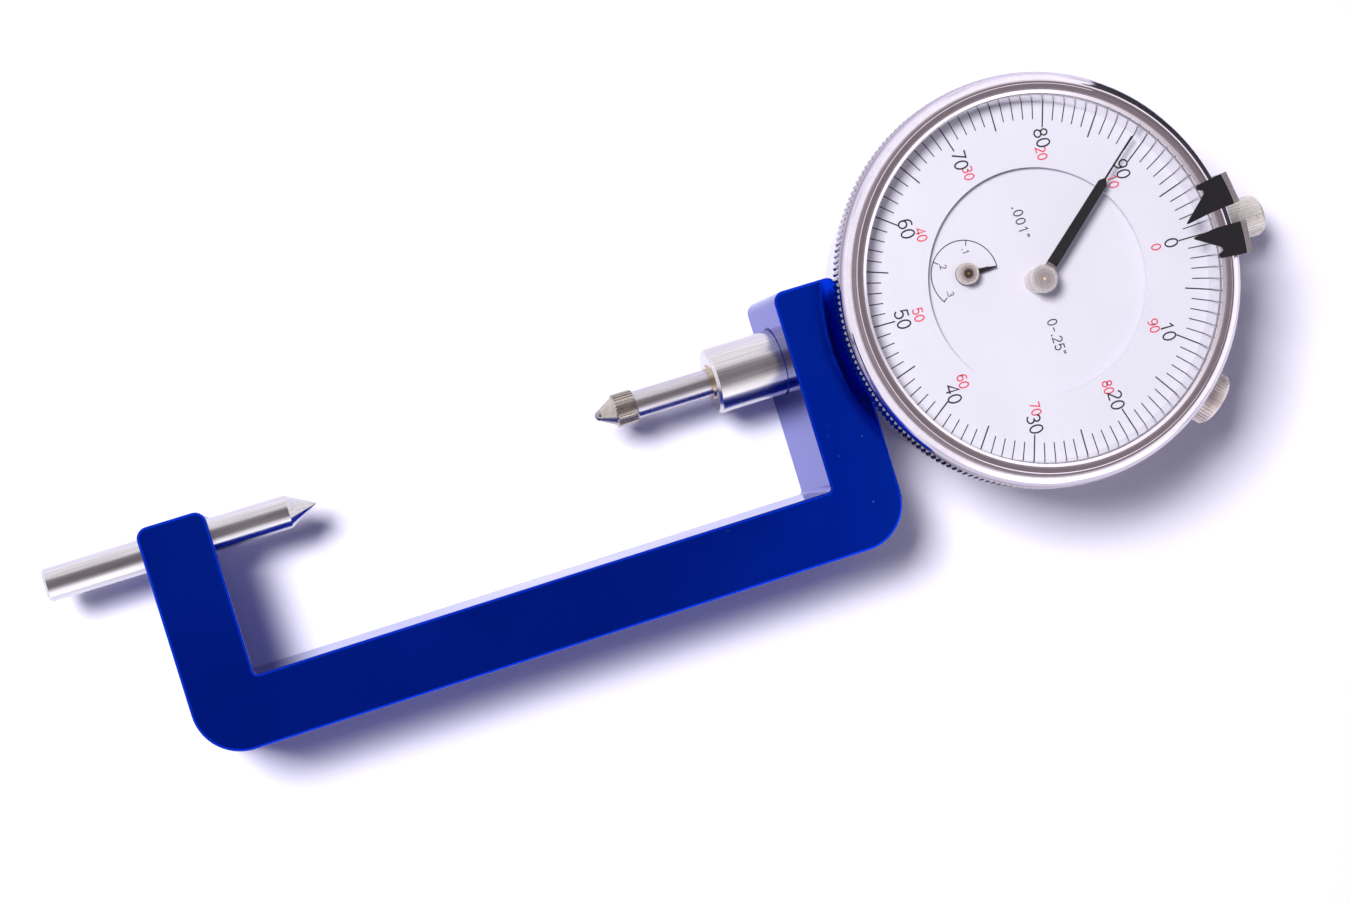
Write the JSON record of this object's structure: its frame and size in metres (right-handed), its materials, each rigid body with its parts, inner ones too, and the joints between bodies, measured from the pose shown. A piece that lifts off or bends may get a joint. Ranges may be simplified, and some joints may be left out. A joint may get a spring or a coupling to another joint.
{
  "type": "c-frame dial gauge",
  "caption": "Rigid C-shaped frame with a sliding conical anvil rod on one arm and a round dial indicator clamped by its stem in the other.",
  "frame": {"origin": "on the frame's flat back face, under the measuring axis, in the middle of the arm that holds the indicator", "axes": "+X along the measuring axis from the anvil towards the dial, +Y from the spine of the frame towards its arm tips, +Z out of the back face towards the side the dial faces"},
  "size_m": [0.1839, 0.0584, 0.0295],
  "materials": {
    "blue_anodised": "glossy deep blue anodised aluminium, edges slightly rounded",
    "black_steel": "black oxide screw",
    "ground_steel": "bright centreless ground steel",
    "chrome_case": "polished chrome with fine turned marks",
    "satin_chrome": "satin chrome",
    "nickel": "warm nickel plate",
    "carbide": "polished hard ball",
    "brass": "fine turned brass",
    "spring_steel": "tempered spring steel",
    "white_dial": "satin white enamelled aluminium sheet",
    "black_hand": "matt black painted sheet",
    "black_clip": "black painted spring clip with a bare outer leg",
    "crystal": "clear acrylic crystal"
  },
  "bodies": {
    "frame": {"frame": "blue_anodised"},
    "stem_lock_screw": {"stem_lock_screw": "black_steel"},
    "anvil_lock_screw": {"anvil_lock_screw": "black_steel"},
    "anvil": {"anvil_rod": "ground_steel"},
    "indicator": {"case": "chrome_case", "stem": "ground_steel", "stem_bushing": "brass", "upper_bushing": "brass", "back_cover": "satin_chrome", "back_cover_screw_1": "nickel", "back_cover_screw_2": "nickel", "back_cover_screw_3": "nickel", "back_cover_screw_4": "nickel", "inner_dial": "white_dial", "lower_plate": "brass", "movement_pillar_1": "brass", "movement_pillar_2": "brass", "movement_pillar_3": "brass", "plate_screw_1": "black_steel", "plate_screw_2": "black_steel", "plate_screw_3": "black_steel", "pinion_cock": "brass", "cock_screw_1": "black_steel", "cock_screw_2": "black_steel", "hairspring": "spring_steel", "hairspring_stud": "brass", "guide_block": "brass", "return_spring": "spring_steel", "bezel_retaining_ring": "spring_steel", "bezel_clamp_bracket": "chrome_case"},
    "plunger": {"spindle": "ground_steel", "contact_point": "ground_steel", "contact_ball": "carbide", "lifting_cap": "nickel", "spring_collar": "ground_steel", "guide_pin": "ground_steel"},
    "counter": {"counter_arbor": "ground_steel", "counter_wheel": "brass", "counter_hand": "black_hand", "counter_hand_hub": "nickel"},
    "centre": {"centre_arbor": "ground_steel", "main_hand": "black_hand", "main_hand_hub": "nickel", "main_hand_collet": "nickel"},
    "takeup": {"takeup_arbor": "ground_steel", "takeup_wheel": "brass", "hairspring_collet": "brass"},
    "bezel": {"bezel": "chrome_case", "crystal": "crystal", "dial_ring": "white_dial", "crystal_spacer": "satin_chrome"},
    "tolerance_hand_a": {"tolerance_hand_a": "black_clip"},
    "tolerance_hand_b": {"tolerance_hand_b": "black_clip"},
    "bezel_clamp": {"bezel_clamp_screw": "nickel"}
  },
  "joints": [
    {"name": "anvil_slide", "type": "slide", "parent": "frame", "child": "anvil", "axis": [1, 0, 0], "range_m": [-0.01, 0.013]},
    {"name": "indicator_slide", "type": "slide", "parent": "frame", "child": "indicator", "axis": [1, 0, 0], "range_m": [0, 0.008]},
    {"name": "stem_lock_turn", "type": "hinge", "parent": "frame", "child": "stem_lock_screw", "pos_m": [0, 0.007, 0.00953], "axis": [0, 1, 0], "range_deg": [0, 360]},
    {"name": "anvil_lock_turn", "type": "hinge", "parent": "frame", "child": "anvil_lock_screw", "pos_m": [-0.09302, 0, 0.0035], "axis": [0, 0, 1], "range_deg": [-360, 0]},
    {"name": "plunger_slide", "type": "slide", "parent": "indicator", "child": "plunger", "axis": [1, 0, 0], "range_m": [0, 0.00635], "stiffness_N_per_m": 60, "springref_m": -0.012, "deforming": ["return_spring"]},
    {"name": "counter_turn", "type": "hinge", "parent": "indicator", "child": "counter", "pos_m": [0.02125, 0.0038, 0.0095], "axis": [0, 0, 1], "range_deg": [0, 180.2]},
    {"name": "centre_turn", "type": "hinge", "parent": "indicator", "child": "centre", "pos_m": [0.031, 0, 0.0155], "axis": [0, 0, 1], "range_deg": [-901, 0]},
    {"name": "takeup_turn", "type": "hinge", "parent": "indicator", "child": "takeup", "pos_m": [0.04006, -0.00523, 0.0155], "axis": [0, 0, 1], "range_deg": [0, 180.2]},
    {"name": "bezel_turn", "type": "hinge", "parent": "indicator", "child": "bezel", "pos_m": [0.031, 0, 0.026], "axis": [0, 0, 1], "continuous": true},
    {"name": "tolerance_a_turn", "type": "hinge", "parent": "bezel", "child": "tolerance_hand_a", "pos_m": [0.031, 0, 0.029], "axis": [0, 0, 1], "range_deg": [-1.5, 165]},
    {"name": "tolerance_b_turn", "type": "hinge", "parent": "bezel", "child": "tolerance_hand_b", "pos_m": [0.031, 0, 0.029], "axis": [0, 0, 1], "range_deg": [-165, 1.5]},
    {"name": "bezel_clamp_turn", "type": "hinge", "parent": "indicator", "child": "bezel_clamp", "pos_m": [0.05078, -0.02121, 0.0186], "axis": [0.682, -0.7314, 0], "range_deg": [-180, 0]}
  ],
  "couplings": [
    {"joint": "counter_turn", "follows": "plunger_slide", "rad_per_m": 494.74},
    {"joint": "centre_turn", "follows": "plunger_slide", "rad_per_m": -2473.7},
    {"joint": "takeup_turn", "follows": "plunger_slide", "rad_per_m": 494.74}
  ]
}
